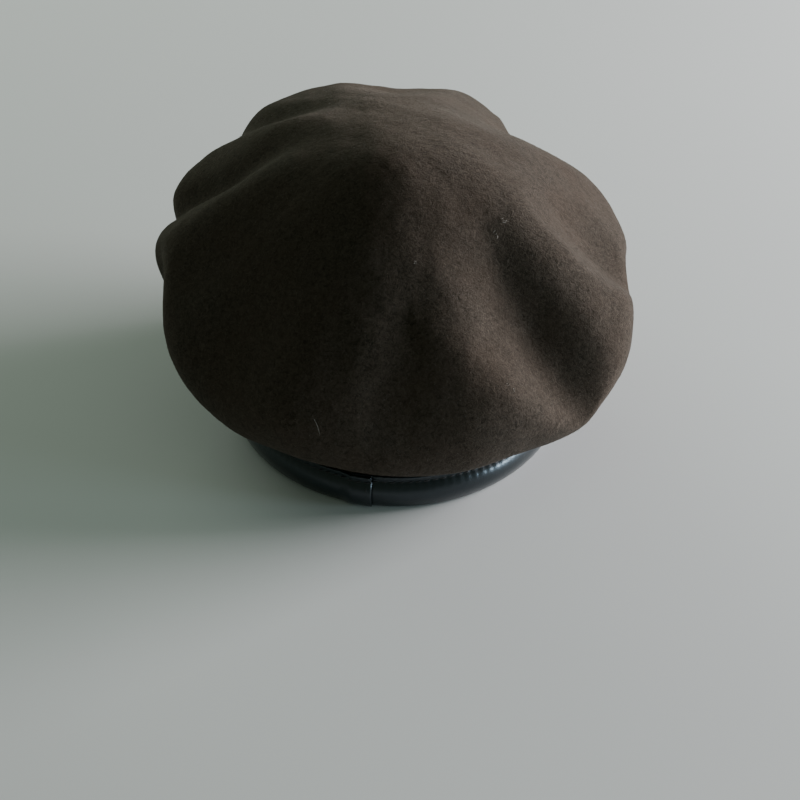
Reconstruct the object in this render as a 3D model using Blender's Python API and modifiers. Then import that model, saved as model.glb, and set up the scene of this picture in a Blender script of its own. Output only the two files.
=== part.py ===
"""Leather-bound wool felt beret, standing on the band of its head opening.

Metres, +Z up. The origin is the centre of the head opening, on the plane of the
band's bottom edge. +Y is the wearer's front and +X the wearer's right. The crown
leans back: its rim is high in front and low at the rear, over the lapped end of the
leather. The band pieces are turned sections, stretched in Y to the oval of a head.
"""

import math

import bmesh
import bpy
import numpy as np

MM = 0.001

# The band: half width of the outer leather face, and how much longer than wide it is.
BAND_HALF_WIDTH = 0.084
OVAL = 1.196
BAND_STEPS = 72
BAND_GAP = 0.3 * MM

# Leather binding, a U folded over the felt's edge.
LEATHER_THICKNESS = 1.0 * MM
OUTER_WALL_HEIGHT = 17.0 * MM
INNER_WALL_HEIGHT = 20.0 * MM
HEM_WIDTH = 5.4 * MM
HEM_CORNER = 1.2 * MM
STITCH_HEIGHT = 14.5 * MM
THREAD_RADIUS = 0.3 * MM
LAP_PROUD = 1.2 * MM
# The strip's lapped end: azimuth in the round section, and its share of LAP_PROUD there.
LAP_SECTIONS = ((-108.5, 0.0), (-106.5, 0.6), (-104.5, 1.0), (-101.0, 1.0), (-97.9, 1.0))
LAP_STITCH_INSET = 1.5
LAP_STITCH_LOW = 2.0 * MM
LAP_STITCH_HIGH = 13.0 * MM

# Felt. The plain crown, before its lobes and folds, is a dome on a rim that is wider and
# higher in front; the top takes its lobes from LOBES_START outward.
FELT_THICKNESS = 2.0 * MM
FELT_HEM_LOW = 6.0 * MM
FELT_HEM_TOP = 18.0 * MM
FELT_HEM_BEND = 21.5 * MM
APEX_HEIGHT = 137.3 * MM
DOME_POWER = 1.62
PLAIN_RADIUS = 119.0 * MM
PLAIN_FORWARD = 8.5 * MM
PLAIN_SQUARENESS = 3.5 * MM
PLAIN_HEIGHT = 66.5 * MM
PLAIN_LEAN = 34.0 * MM
LOBES_START = 0.35
RIM_ROUNDING = 8.0 * MM
RIM_CAGE = 1.045
CROWN_AZIMUTHS = 40
TOP_FRACTIONS = (0.0, 0.2, 0.4, 0.6, 0.78, 0.93)
# Rings from the rim in under the crown: the share of the way out from the hem to the rim,
# the share of the way up to it, and the least height above the hem's top in mm.
UNDER_RINGS = ((0.93, 0.74, 6.5), (0.50, 0.32, 5.0))

# Sizing tape in the hem's tunnel, under the felt's edge.
TAPE_THICKNESS = 1.0 * MM
TAPE_LOW = 1.4 * MM
TAPE_HIGH = 5.2 * MM

# Lining.
LINING_THICKNESS = 0.5 * MM
LINING_CLEARANCE = 5.0 * MM
LINING_SEAM_FRACTION = 0.80
LINING_TOP_STEPS = (0.0, 0.3, 0.55, 0.8, 1.0)
LINING_SIDE_STEPS = (1.0, 0.66, 0.33, 0.0)
LINING_SEAM_INSET = 1.0 * MM
LINING_SEAM_DROP = 2.5 * MM
LINING_HEM_LOW = 8.0 * MM
LINING_HEM_HIGH = 22.0 * MM
LINING_AZIMUTHS = 48
LABEL_WIDTH = 30.0 * MM
LABEL_HEIGHT = 14.0 * MM
LABEL_LOW = 25.0 * MM
LABEL_THICKNESS = 0.5 * MM
LABEL_CURVE_GAP = 0.5 * MM
LABEL_STITCH_INSET = 1.5 * MM

# Rim of the crown: azimuth from +X in degrees, radius and height in metres. The small
# radii are the notches between the lobes.
RIM = (
    (-180, 0.1153, 0.0726),
    (-157, 0.1182, 0.0507),
    (-134, 0.1129, 0.0384),
    (-118, 0.1141, 0.0440),
    (-100, 0.1099, 0.0356),
    (-84, 0.1116, 0.0323),
    (-62, 0.1143, 0.0365),
    (-43, 0.1170, 0.0405),
    (-26, 0.1211, 0.0476),
    (-12, 0.1172, 0.0577),
    (0, 0.1131, 0.0696),
    (18, 0.1208, 0.0664),
    (30, 0.1191, 0.0766),
    (42, 0.1107, 0.0851),
    (57, 0.1141, 0.0874),
    (67, 0.1392, 0.0845),
    (79, 0.1442, 0.0964),
    (90, 0.1301, 0.1037),
    (102, 0.1272, 0.1049),
    (116, 0.1344, 0.0972),
    (130, 0.1279, 0.0924),
    (138, 0.1146, 0.0887),
    (146, 0.1220, 0.0854),
    (156, 0.1255, 0.0792),
    (164, 0.1156, 0.0771),
    (172, 0.1220, 0.0634),
)

# Folds of the crown: a line in plan that runs outward, in mm, the height of its crest
# (a valley is negative), and how far it spreads to its left and to its right, in mm.
FOLDS = (
    (
        (
            (61, 18), (59, -9), (63, -21), (73, -32), (79, -32),
            (92, -40), (104, -36), (112, -31), (120, -24),
        ),
        7.6,
        10,
        28,
    ),
    (((65, 2), (92, -3), (93, -10), (111, -14)), -7.5, 19, 11),
    (((32, -28), (47, -48), (63, -61), (80, -72), (99, -81)), -16.3, 12, 20),
    (((21, -60), (27, -71), (31, -92), (58, -103)), 9.5, 17, 22),
    (((6, -66), (3, -91), (5, -115)), -0.5, 6, 12),
    (((1, -60), (-17, -91), (-23, -108)), 3.9, 11, 12),
    (
        (
            (-41, 24), (-51, 17), (-60, 12), (-72, 8), (-82, 10),
            (-91, 11), (-100, 15), (-110, 16), (-123, 22),
        ),
        6.6,
        25,
        12,
    ),
    (((-47, 34), (-62, 26), (-72, 24), (-81, 20), (-91, 24), (-103, 28), (-120, 35)), -4.6, 11, 14),
    (((-22, 63), (-37, 58), (-47, 54), (-62, 54), (-72, 66), (-80, 76), (-92, 85)), 5, 17, 9),
    (((-27, 78), (-46, 75), (-58, 79), (-71, 80), (-90, 100)), -4, 11, 13),
    (((38, 38), (42, 62), (51, 104)), -3.6, 34, 21),
    (((-16, 86), (14, 136)), -7.1, 25, 19),
)


def clear_scene():
    for obj in list(bpy.data.objects):
        bpy.data.objects.remove(obj, do_unlink=True)


def new_collection(name, shown=True):
    collection = bpy.data.collections.new(name)
    collection.hide_render = not shown
    bpy.context.scene.collection.children.link(collection)
    return collection


def new_material(name, color, roughness, metallic=0.0):
    material = bpy.data.materials.new(name)
    material.use_nodes = True
    shader = material.node_tree.nodes["Principled BSDF"]
    shader.inputs["Base Color"].default_value = (*color, 1.0)
    shader.inputs["Roughness"].default_value = roughness
    shader.inputs["Metallic"].default_value = metallic
    return material


def add_object(name, mesh, material, collection):
    obj = bpy.data.objects.new(name, mesh)
    mesh.materials.append(material)
    collection.objects.link(obj)
    return obj


def smooth_step(low, high, x):
    x = np.clip((x - low) / (high - low), 0.0, 1.0)
    return x * x * (3.0 - 2.0 * x)


# Shape of the crown


def oval_radius(azimuth, half_width):
    """Radius of the head oval at an azimuth in radians."""
    along = np.cos(azimuth) / half_width
    across = np.sin(azimuth) / (half_width * OVAL)
    return 1.0 / np.sqrt(along**2 + across**2)


def rim_at(azimuth):
    """Radius and height of the rim at each azimuth, by a smooth curve through RIM."""
    table = np.array(RIM)
    knots = np.concatenate([table[-2:, 0] - 360, table[:, 0], table[:3, 0] + 360])
    degrees = (np.degrees(azimuth) + 180.0) % 360.0 - 180.0
    index = np.clip(np.searchsorted(knots, degrees, side="right") - 1, 0, len(knots) - 2)
    step = knots[index + 1] - knots[index]
    u = (degrees - knots[index]) / step
    found = []
    for column in (1, 2):
        values = table[:, column]
        values = np.concatenate([values[-2:], values, values[:3]])
        slopes = np.gradient(values, knots)
        found.append(
            (2 * u**3 - 3 * u**2 + 1) * values[index]
            + (u**3 - 2 * u**2 + u) * step * slopes[index]
            + (3 * u**2 - 2 * u**3) * values[index + 1]
            + (u**3 - u**2) * step * slopes[index + 1]
        )
    return found


def smooth_line(points, parts=6):
    """A Catmull-Rom curve through the points, as a polyline."""
    points = np.array(points, float)
    ends = (2 * points[0] - points[1], 2 * points[-1] - points[-2])
    knots = np.vstack([ends[0], points, ends[1]])
    line = []
    for a, b, c, d in zip(knots, knots[1:], knots[2:], knots[3:]):
        for u in np.arange(parts) / parts:
            cubic = (3 * b - a - 3 * c + d) * u**3
            square = (2 * a - 5 * b + 4 * c - d) * u**2
            line.append(0.5 * (2 * b + (c - a) * u + square + cubic))
    line.append(points[-1])
    return np.array(line)


def fold_height(x, y):
    """How far the folds lift or lower the felt at plan positions in metres."""
    x = x / MM
    y = y / MM
    total = np.zeros(x.shape)
    for points, height, spread_left, spread_right in FOLDS:
        line = smooth_line(points)
        steps = np.diff(line, axis=0)
        lengths = np.hypot(steps[:, 0], steps[:, 1])
        starts = np.concatenate([[0.0], np.cumsum(lengths)[:-1]])
        nearest = np.full(x.shape, np.inf)
        spread = np.full(x.shape, float(spread_left))
        along = np.zeros(x.shape)
        for (ax, ay), (dx, dy), length, start in zip(line, steps, lengths, starts):
            u = np.clip(((x - ax) * dx + (y - ay) * dy) / length**2, 0.0, 1.0)
            ex = x - ax - u * dx
            ey = y - ay - u * dy
            distance = np.hypot(ex, ey)
            closer = distance < nearest
            side = np.where(dx * ey > dy * ex, spread_left, spread_right)
            nearest = np.where(closer, distance, nearest)
            spread = np.where(closer, side, spread)
            along = np.where(closer, (start + u * length) / lengths.sum(), along)
        total += height * np.exp(-((nearest / spread) ** 2)) * smooth_step(-0.05, 0.55, along)
    return total * MM


def top_ring(azimuth, fraction):
    """Radius, plain height and fold height of the top, a fraction of the way to the rim."""
    rim_radius, rim_height = rim_at(azimuth)
    forward = np.sin(azimuth)
    plain_radius = PLAIN_RADIUS + PLAIN_FORWARD * forward - PLAIN_SQUARENESS * np.cos(2 * azimuth)
    plain_height = PLAIN_HEIGHT + PLAIN_LEAN * forward
    blend = smooth_step(LOBES_START, 1.0, fraction)
    radius = (plain_radius + (rim_radius - plain_radius) * blend) * fraction
    edge = plain_height + (rim_height - plain_height) * blend + RIM_ROUNDING
    height = APEX_HEIGHT - (APEX_HEIGHT - edge) * fraction**DOME_POWER
    return radius, height, fold_height(radius * np.cos(azimuth), radius * np.sin(azimuth))


def felt_top_ring(azimuth, fraction):
    radius, height, lift = top_ring(azimuth, fraction)
    return radius, height + lift


def lining_top_ring(azimuth, fraction):
    """The lining hangs under the felt's valleys and doesn't rise into its crests."""
    radius, height, lift = top_ring(azimuth, fraction)
    return radius, height + np.minimum(lift, 0.0) - LINING_CLEARANCE


def felt_rings(azimuth):
    """The crown's cage from its apex, over the rim and in under it, to its hem."""
    rim_radius, rim_height = rim_at(azimuth)
    lift = fold_height(rim_radius * np.cos(azimuth), rim_radius * np.sin(azimuth))
    # Subdivision draws a ring of this few corners in a little, so the hem starts wider.
    drawn_in = (6.0 + 2.0 * math.cos(math.tau / len(azimuth))) / 8.0
    hem_centre = BAND_HALF_WIDTH - LEATHER_THICKNESS - BAND_GAP - FELT_THICKNESS / 2
    hem = oval_radius(azimuth, hem_centre) / drawn_in
    rings = [felt_top_ring(azimuth, fraction) for fraction in TOP_FRACTIONS]
    rings.append((rim_radius * RIM_CAGE, rim_height + 0.3 * RIM_ROUNDING + 0.7 * lift))
    under = rim_height - RIM_ROUNDING + 0.3 * lift - FELT_HEM_TOP
    for out, up, least in UNDER_RINGS:
        radius = hem + (rim_radius - hem) * out
        rings.append((radius, FELT_HEM_TOP + np.maximum(least * MM, under * up)))
    for height in (FELT_HEM_BEND, FELT_HEM_TOP, FELT_HEM_LOW):
        rings.append((hem, np.full_like(hem, height)))
    return rings


def lining_radius():
    return BAND_HALF_WIDTH - HEM_WIDTH + LEATHER_THICKNESS + BAND_GAP + LINING_THICKNESS / 2


def lining_side_ring(azimuth, up):
    """A ring of the lining's side, a share of the way up from its hem to its top seam."""
    hem = oval_radius(azimuth, lining_radius())
    seam_radius, seam_height = lining_top_ring(azimuth, LINING_SEAM_FRACTION)
    radius = hem + (seam_radius - LINING_SEAM_INSET - hem) * up
    height = LINING_HEM_HIGH + (seam_height - LINING_SEAM_DROP - LINING_HEM_HIGH) * up
    return radius, height


def label_point(across, height, off):
    """A point in front of the lining's rear: across in X, and off the lining's middle."""
    azimuth = -math.pi / 2
    for _ in range(3):
        low_radius, low = lining_side_ring(azimuth, 0.0)
        high_radius, high = lining_side_ring(azimuth, 1.0)
        radius = low_radius + (high_radius - low_radius) * (height - low) / (high - low) - off
        azimuth = -math.pi / 2 + math.asin(across / radius)
    return radius * math.cos(azimuth), radius * math.sin(azimuth), height


# Building


def even_azimuths(count):
    return np.arange(count) * math.tau / count - math.pi


def lofted_mesh(name, azimuth, rings):
    """An open surface through rings of (radius, height) that run outward and down."""
    mesh = bpy.data.meshes.new(name)
    cage = bmesh.new()
    loops = []
    for radius, height in rings:
        if np.max(radius) == 0.0:
            loops.append([cage.verts.new((0.0, 0.0, float(np.max(height))))])
            continue
        corners = zip(radius * np.cos(azimuth), radius * np.sin(azimuth), height)
        loops.append([cage.verts.new(corner) for corner in corners])
    count = len(azimuth)
    for upper, lower in zip(loops, loops[1:]):
        for i in range(count):
            j = (i + 1) % count
            if len(upper) == 1:
                cage.faces.new((upper[0], lower[i], lower[j]))
            else:
                cage.faces.new((upper[i], lower[i], lower[j], upper[j]))
    cage.to_mesh(mesh)
    cage.free()
    mesh.shade_smooth()
    return mesh


def soften(obj):
    modifier = obj.modifiers.new("soften", "SUBSURF")
    modifier.levels = 1
    modifier.render_levels = 1


def thicken(obj, thickness):
    modifier = obj.modifiers.new("thickness", "SOLIDIFY")
    modifier.thickness = thickness
    modifier.offset = 0.0
    modifier.use_even_offset = True


def turned_object(name, section, material, collection):
    """A closed section of (radius, height), turned about Z and stretched to the oval."""
    mesh = bpy.data.meshes.new(name)
    count = len(section)
    edges = [(i, (i + 1) % count) for i in range(count)]
    mesh.from_pydata([(radius, 0.0, height) for radius, height in section], edges, [])
    obj = add_object(name, mesh, material, collection)
    screw = obj.modifiers.new("turn", "SCREW")
    screw.steps = BAND_STEPS
    screw.render_steps = BAND_STEPS
    screw.use_merge_vertices = True
    screw.merge_threshold = 0.0001
    obj.scale = (1.0, OVAL, 1.0)
    return obj


def box_section(inner, outer, low, high):
    """Corners of a rectangle, down its outer side and up its inner side."""
    return [(inner, high), (outer, high), (outer, low), (inner, low)]


def binding_section():
    """The U of the leather: outer wall, flat foot and inner wall, with turned corners."""
    outer = BAND_HALF_WIDTH
    inner = BAND_HALF_WIDTH - HEM_WIDTH
    skin = LEATHER_THICKNESS
    corner = HEM_CORNER
    return [
        (outer - skin, OUTER_WALL_HEIGHT),
        (outer, OUTER_WALL_HEIGHT),
        (outer, corner),
        (outer - 0.3 * corner, 0.3 * corner),
        (outer - corner, 0.0),
        (inner + corner, 0.0),
        (inner + 0.3 * corner, 0.3 * corner),
        (inner, corner),
        (inner, INNER_WALL_HEIGHT),
        (inner + skin, INNER_WALL_HEIGHT),
        (inner + skin, skin),
        (outer - skin, skin),
    ]


def lap_mesh(name):
    """The end of the leather strip that lies over its other end, as a curved plate."""
    mesh = bpy.data.meshes.new(name)
    plate = bmesh.new()
    inside = BAND_HALF_WIDTH - 0.5 * LEATHER_THICKNESS
    low = 0.35 * HEM_CORNER
    high = OUTER_WALL_HEIGHT - 0.2 * MM
    frames = []
    for degrees, proud in LAP_SECTIONS:
        azimuth = math.radians(degrees)
        outside = BAND_HALF_WIDTH + LAP_PROUD * proud
        corners = [
            (radius * math.cos(azimuth), radius * math.sin(azimuth), height)
            for radius, height in box_section(inside, outside, low, high)
        ]
        frames.append([plate.verts.new(corner) for corner in corners])
    for before, after in zip(frames, frames[1:]):
        for i in range(4):
            j = (i + 1) % 4
            plate.faces.new((before[i], before[j], after[j], after[i]))
    plate.faces.new(frames[0])
    plate.faces.new(frames[-1])
    bmesh.ops.recalc_face_normals(plate, faces=plate.faces)
    plate.to_mesh(mesh)
    plate.free()
    return mesh


def build_binding(material, parts, cutters):
    binding = turned_object("leather_binding", binding_section(), material, parts)
    lap = add_object("lapped_end", lap_mesh("lapped_end"), material, cutters)
    lap.scale = (1.0, OVAL, 1.0)
    lap.hide_render = True
    lap.display_type = "WIRE"
    join = binding.modifiers.new("lapped_end", "BOOLEAN")
    join.operation = "UNION"
    join.solver = "EXACT"
    join.object = lap


def build_thread(name, points, cyclic, material, parts):
    curve = bpy.data.curves.new(name, "CURVE")
    curve.dimensions = "3D"
    spline = curve.splines.new("POLY")
    spline.points.add(len(points) - 1)
    for target, point in zip(spline.points, points):
        target.co = (*point, 1.0)
    spline.use_cyclic_u = cyclic
    curve.bevel_depth = THREAD_RADIUS
    curve.bevel_resolution = 1
    curve.use_fill_caps = True
    curve.materials.append(material)
    obj = bpy.data.objects.new(name, curve)
    parts.objects.link(obj)


def lap_proud(degrees):
    """How far the lapped end stands out of the band at an azimuth in the round section."""
    azimuths, proud = zip(*LAP_SECTIONS)
    return LAP_PROUD * np.interp(degrees, azimuths, proud, right=0.0)


def build_band_threads(material, parts):
    """The two threads of the stitching round the band, as the lines they run along."""
    even = np.arange(BAND_STEPS) * 360.0 / BAND_STEPS - 180.0
    degrees = np.unique(np.concatenate([even, [section[0] for section in LAP_SECTIONS]]))
    stand_off = BAND_GAP + THREAD_RADIUS
    outside = BAND_HALF_WIDTH + stand_off + lap_proud(degrees)
    inside = np.full_like(degrees, BAND_HALF_WIDTH - HEM_WIDTH - stand_off)
    for name, radius in (("binding_needle_thread", outside), ("binding_bobbin_thread", inside)):
        x = radius * np.cos(np.radians(degrees))
        y = radius * np.sin(np.radians(degrees)) * OVAL
        points = [(px, py, STITCH_HEIGHT) for px, py in zip(x, y)]
        build_thread(name, points, True, material, parts)


def build_felt(material, parts):
    azimuth = even_azimuths(CROWN_AZIMUTHS)
    mesh = lofted_mesh("felt_crown", azimuth, felt_rings(azimuth))
    felt = add_object("felt_crown", mesh, material, parts)
    soften(felt)
    thicken(felt, FELT_THICKNESS)


def build_tape(material, parts):
    middle = BAND_HALF_WIDTH - HEM_WIDTH / 2
    half = TAPE_THICKNESS / 2
    section = box_section(middle - half, middle + half, TAPE_LOW, TAPE_HIGH)
    turned_object("sizing_tape", section, material, parts)


def build_lining(material, parts):
    azimuth = even_azimuths(LINING_AZIMUTHS)
    top = [lining_top_ring(azimuth, LINING_SEAM_FRACTION * step) for step in LINING_TOP_STEPS]
    mesh = lofted_mesh("lining_top", azimuth, top)
    thicken(add_object("lining_top", mesh, material, parts), LINING_THICKNESS)
    side = [lining_side_ring(azimuth, step) for step in LINING_SIDE_STEPS]
    hem = oval_radius(azimuth, lining_radius())
    side.append((hem, np.full_like(hem, LINING_HEM_LOW)))
    mesh = lofted_mesh("lining_side", azimuth, side)
    thicken(add_object("lining_side", mesh, material, parts), LINING_THICKNESS)


def build_lining_seam(material, parts):
    """The thread that joins the lining's top and side, in the gap between them."""
    azimuth = even_azimuths(LINING_AZIMUTHS)
    radius, height = lining_top_ring(azimuth, LINING_SEAM_FRACTION)
    radius = radius - LINING_SEAM_INSET
    height = height - 0.6 * LINING_SEAM_DROP
    points = zip(radius * np.cos(azimuth), radius * np.sin(azimuth), height)
    build_thread("lining_seam_thread", list(points), True, material, parts)


def build_label(material, thread, parts):
    """A blank label on the rear of the lining's side, and the stitch along its top."""
    off = LINING_THICKNESS / 2 + LABEL_CURVE_GAP + LABEL_THICKNESS / 2
    mesh = bpy.data.meshes.new("size_label")
    sheet = bmesh.new()
    rows = []
    for height in np.linspace(LABEL_LOW, LABEL_LOW + LABEL_HEIGHT, 4):
        line = np.linspace(-LABEL_WIDTH / 2, LABEL_WIDTH / 2, 9)
        rows.append([sheet.verts.new(label_point(across, height, off)) for across in line])
    for lower, upper in zip(rows, rows[1:]):
        for i in range(len(lower) - 1):
            sheet.faces.new((lower[i], lower[i + 1], upper[i + 1], upper[i]))
    sheet.to_mesh(mesh)
    sheet.free()
    thicken(add_object("size_label", mesh, material, parts), LABEL_THICKNESS)
    off += LABEL_THICKNESS / 2 + BAND_GAP + THREAD_RADIUS
    half = LABEL_WIDTH / 2 - LABEL_STITCH_INSET
    height = LABEL_LOW + LABEL_HEIGHT - LABEL_STITCH_INSET
    points = [label_point(across, height, off) for across in np.linspace(-half, half, 7)]
    build_thread("label_thread", points, False, thread, parts)


def build_lap_thread(material, parts):
    """The upright stitch that closes the lapped ends."""
    azimuth = math.radians(LAP_SECTIONS[-1][0] - LAP_STITCH_INSET)
    radius = BAND_HALF_WIDTH + LAP_PROUD + BAND_GAP + THREAD_RADIUS
    x = radius * math.cos(azimuth)
    y = OVAL * radius * math.sin(azimuth)
    points = [(x, y, LAP_STITCH_LOW), (x, y, LAP_STITCH_HIGH)]
    build_thread("lap_thread", points, False, material, parts)


def main():
    clear_scene()
    parts = new_collection("beret")
    cutters = new_collection("cutters", shown=False)

    felt = new_material("brown wool felt", (0.040, 0.030, 0.021), 0.95)
    leather = new_material("black leather", (0.010, 0.012, 0.013), 0.38)
    thread = new_material("black thread", (0.012, 0.012, 0.012), 0.7)
    lining = new_material("black satin lining", (0.015, 0.015, 0.017), 0.45)
    tape = new_material("black cotton tape", (0.02, 0.02, 0.02), 0.9)
    label = new_material("woven label", (0.62, 0.60, 0.55), 0.8)

    build_felt(felt, parts)
    build_binding(leather, parts, cutters)
    build_tape(tape, parts)
    build_band_threads(thread, parts)
    build_lap_thread(thread, parts)
    build_lining(lining, parts)
    build_lining_seam(thread, parts)
    build_label(label, thread, parts)


main()
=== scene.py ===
"""Looks of the leather-bound wool felt beret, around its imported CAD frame."""

import math

import bpy
import numpy as np
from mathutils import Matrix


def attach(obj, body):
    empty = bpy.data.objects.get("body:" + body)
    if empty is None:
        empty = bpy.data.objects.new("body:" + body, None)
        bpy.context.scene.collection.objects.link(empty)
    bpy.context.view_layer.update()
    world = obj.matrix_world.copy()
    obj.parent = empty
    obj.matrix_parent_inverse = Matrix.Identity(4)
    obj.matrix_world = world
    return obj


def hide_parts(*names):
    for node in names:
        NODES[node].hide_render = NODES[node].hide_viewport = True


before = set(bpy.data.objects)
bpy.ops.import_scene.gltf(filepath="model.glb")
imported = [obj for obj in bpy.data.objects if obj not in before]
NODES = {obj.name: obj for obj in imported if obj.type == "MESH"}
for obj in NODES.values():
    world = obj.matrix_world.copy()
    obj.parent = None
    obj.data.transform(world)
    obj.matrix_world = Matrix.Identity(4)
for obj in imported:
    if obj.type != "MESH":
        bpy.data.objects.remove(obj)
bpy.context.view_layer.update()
MM = 0.001

# Head oval: outer leather face in the round section, and how much longer than wide.
BAND_HALF_WIDTH = 0.084
OVAL = 1.196

# Crown. PLAIN_RADIUS and PLAIN_HEIGHT: the rim without its lobes, as a middle value and
# how much it grows towards the front; PLAIN_SQUARE flattens it at the sides.
APEX_HEIGHT = 0.1363
DOME_POWER = 1.617
APEX_ROUNDING = 0.20
RIM_ROUNDING = 0.008
PLAIN_RADIUS = (0.119, 0.0085)
PLAIN_SQUARE = 0.0035
PLAIN_HEIGHT = (0.0665, 0.034)
FELT_THICKNESS = 0.002
FELT_HEM_RADIUS = 0.0827
FELT_HEM_TOP = 0.018
FELT_AZIMUTHS = 360
FELT_PARTS = 6
TOP_FRACTIONS = (0, .08, .16, .24, .32, .40, .48, .55, .62, .68, .74, .80, .86, .91, .96)
# Under the rim: share of the way out from the hem, share of the way up, least rise in mm.
UNDER_ROWS = ((0.90, 0.80, 7.0), (0.70, 0.54, 6.0), (0.44, 0.28, 5.0), (0.20, 0.12, 4.2))
HEM_HEIGHTS = (0.0212, 0.0185, 0.013, 0.006)
# Slight unevenness of the felt: depth, size and seed of each layer.
FELT_WAVES = ((0.0004, 0.034, 5), (0.0001, 0.011, 9))

# Rim: azimuth from +X in degrees, radius and height in metres.
RIM = (
    (-180, 0.1153, 0.0726), (-157, 0.1182, 0.0507), (-134, 0.1129, 0.0384), (-118, 0.1141, 0.0440),
    (-100, 0.1099, 0.0356), (-84, 0.1116, 0.0323), (-62, 0.1143, 0.0365), (-43, 0.1170, 0.0405),
    (-26, 0.1211, 0.0476), (-12, 0.1172, 0.0577), (0, 0.1131, 0.0696), (18, 0.1208, 0.0664),
    (30, 0.1191, 0.0766), (42, 0.1107, 0.0851), (57, 0.1141, 0.0874), (67, 0.1392, 0.0845),
    (79, 0.1442, 0.0964), (90, 0.1301, 0.1037), (102, 0.1272, 0.1049), (116, 0.1344, 0.0972),
    (130, 0.1279, 0.0924), (138, 0.1146, 0.0887), (146, 0.1220, 0.0854), (156, 0.1255, 0.0792),
    (164, 0.1156, 0.0771), (172, 0.1220, 0.0634),
)

# Folds: plan line in mm running outward, height in mm, spread to its left and right.
FOLDS = (
    (
        ((61, 18), (59, -9), (63, -21), (73, -32), (79, -32), (92, -40), (104, -36), (112, -31), (120, -24)),
        7.6, 10, 28,
    ),
    (((65, 2), (92, -3), (93, -10), (111, -14)), -7.5, 19, 11),
    (((32, -28), (47, -48), (63, -61), (80, -72), (99, -81)), -16.3, 12, 20),
    (((21, -60), (27, -71), (31, -92), (58, -103)), 9.5, 17, 22),
    (((6, -66), (3, -91), (5, -115)), -0.5, 6, 12),
    (((1, -60), (-17, -91), (-23, -108)), 3.9, 11, 12),
    (
        ((-41, 24), (-51, 17), (-60, 12), (-72, 8), (-82, 10), (-91, 11), (-100, 15), (-110, 16), (-123, 22)),
        6.8, 25, 10,
    ),
    (((-47, 34), (-62, 26), (-72, 24), (-81, 20), (-91, 24), (-103, 28), (-120, 35)), -6.2, 10, 12),
    (((-22, 63), (-37, 58), (-47, 54), (-62, 54), (-72, 66), (-80, 76), (-92, 85)), 5.4, 17, 8),
    (((-27, 78), (-46, 75), (-58, 79), (-71, 80), (-90, 100)), -5, 10, 12),
    (((38, 38), (42, 62), (51, 104)), -3.6, 34, 21),
    (((-16, 86), (14, 136)), -7.1, 25, 19),
)

# Nap: loose wool fibres that stand on the felt. Lint: plan place and height in mm, how
# many strands, their length in mm and how far they rise.
NAP_FIBRES = 15000
NAP_LOWEST = 0.024
NAP_LENGTHS = (0.0010, 0.0030)
NAP_LIFTS = (0.10, 0.42)
NAP_GIRTH = 0.00003
NAP_SCATTER = 0.0012
LINT_GIRTH = 0.00009
LINT_SCATTER = 0.0005
FIBRE_RINGS = 5
LINT = (
    (7, -54, 108, 5, 1.6, 0.4),
    (50, -31, 113, 6, 2.4, 0.4),
    (47, -34, 110, 4, 2.0, 0.4),
    (50, -92, 64, 2, 1.8, 0.2),
    (52, -93, 61, 2, 1.4, 0.2),
    (-37, -102, 53, 1, 9.0, 0.06),
)

# Leather binding and its stitches.
LEATHER = 0.001
OUTER_TOP = 0.017
INNER_TOP = 0.020
HEM_WIDTH = 0.0054
CORNER = 0.0012
STITCH_PITCH = 0.004
STITCH_HEIGHT = 0.0145
THREAD = 0.0003
COLUMNS_PER_STITCH = 6
LAP_START, LAP_FULL, LAP_END = -108.5, -104.0, -97.9
LAP_RAISE = 0.0014
SWELL = 0.0023
DRAWN_IN = 0.00015
STITCH_DENT = 0.00022
STITCH_DENT_WIDTH = 0.0011
HOLE_DENT = 0.00020
PUCKER_ABOVE = 0.00022
PUCKER_BELOW = 0.00009
PUCKER_DROP = 0.0022
PUCKER_WIDTH = 0.0016
STITCH_SHARE = 0.72
STITCH_SLANT = 0.00022
STITCH_JITTER = 0.00008
LAP_STITCHES = (0.0022, 0.0060, 0.0098)
LAP_STITCH = 0.0028
EDGE_WAVES = ((0.00025, 71.0, 0.0), (0.00018, 163.0, 1.3))
UNDERLAP = (-104.5, 14)

# Lining: its gap under the felt, the side panel's radius at the hem, and where the seam
# between its two panels lies on the way from the apex to the rim.
LINING_CLEARANCE = 0.005
LINING_RADIUS = 0.0840 - HEM_WIDTH + LEATHER + 0.0003 + 0.00025
LINING_THICKNESS = 0.0004
LINING_AZIMUTHS = 192
LINING_FOOT = 0.022
WALL_IN = 0.001
WALL_DROP = 0.0025
SEAM_FRACTION = 0.80
SEAM_PITCH = 0.004
# Top panel's sag: middle depth, its spread, size and seed. Side panel's: seed, depth, size.
DISC_SAG = (0.0016, 0.0022, 0.05, 21)
WALL_WRINKLES = (33, 0.0016, 0.042)
LINING_SLACK = 0.03
LINING_REACH = 0.003
CLOTH_FRAMES = 24
CLOTH = {
    "vertex_group_mass": "pins",
    "quality": 5,
    "mass": 0.12,
    "tension_stiffness": 12.0,
    "compression_stiffness": 12.0,
    "shear_stiffness": 3.0,
    "bending_stiffness": 0.02,
    "shrink_min": -LINING_SLACK,
}

# Size label, inside the rear of the lining.
LABEL_WIDTH = 0.030
LABEL_LOW = 0.025
LABEL_HIGH = 0.039
LABEL_STITCHES = 9

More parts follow.
